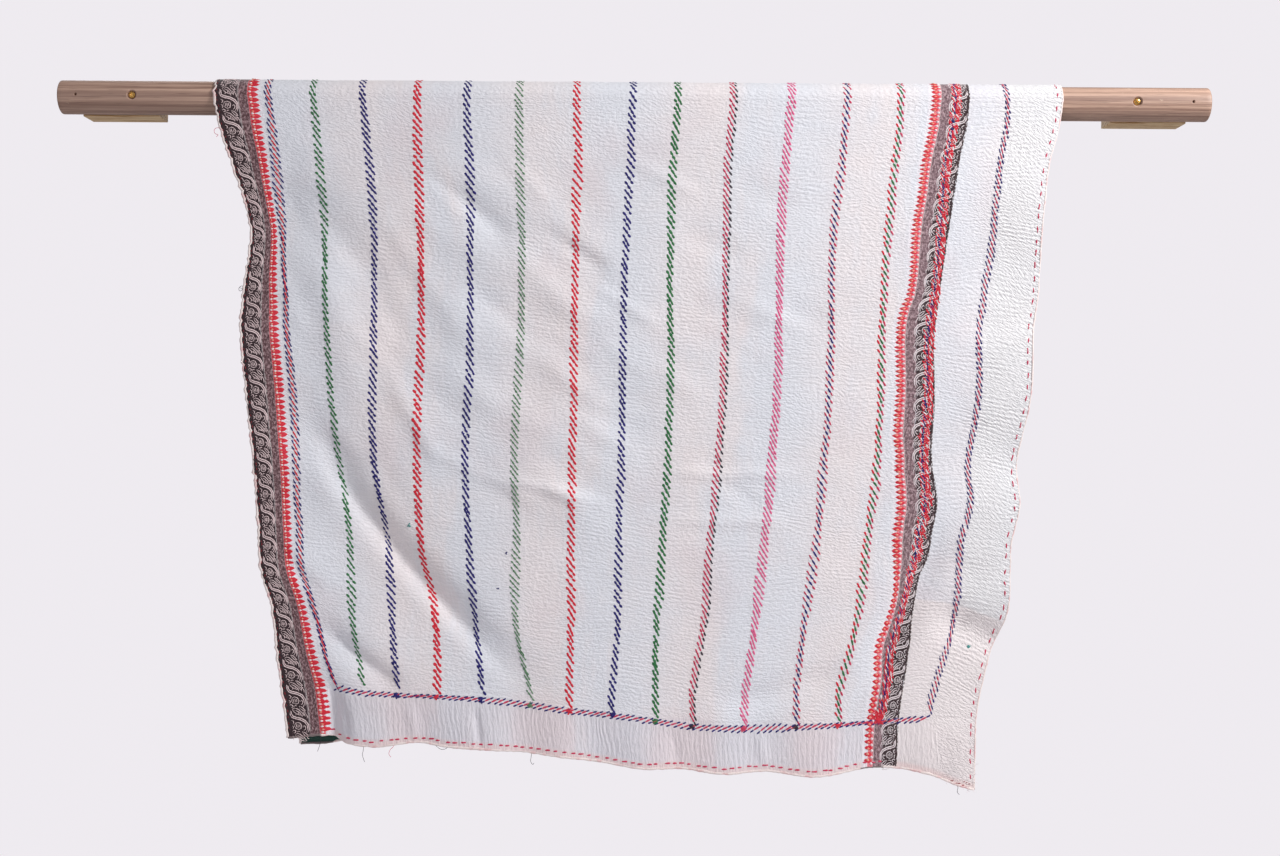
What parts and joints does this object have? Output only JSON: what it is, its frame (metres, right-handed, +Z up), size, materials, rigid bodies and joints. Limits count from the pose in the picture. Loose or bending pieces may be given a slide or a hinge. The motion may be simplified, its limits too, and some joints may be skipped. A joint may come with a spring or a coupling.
{
  "type": "kantha quilt on a wall-mounted wooden rail",
  "caption": "Hand-stitched kantha quilt with woven side borders, folded over a round wooden rail that blocks and screws hold to a wall.",
  "frame": {"origin": "on the wall's plane, midway between the two blocks, at the height of the rail's axis", "axes": "+X along the rail to the right as seen from the room, +Y into the wall, +Z up"},
  "size_m": [1.716, 0.0966, 1.0499],
  "materials": {
    "quilt_cloth": "washed cotton, close running stitch, puckered",
    "rail_wood": "sanded and oiled, satin",
    "block_wood": "sawn, bare",
    "screw_brass": "satin"
  },
  "bodies": {
    "root": {"quilt": "quilt_cloth", "rail": "rail_wood", "block_left": "block_wood", "block_right": "block_wood", "screw_left": "screw_brass", "screw_right": "screw_brass"}
  },
  "joints": []
}
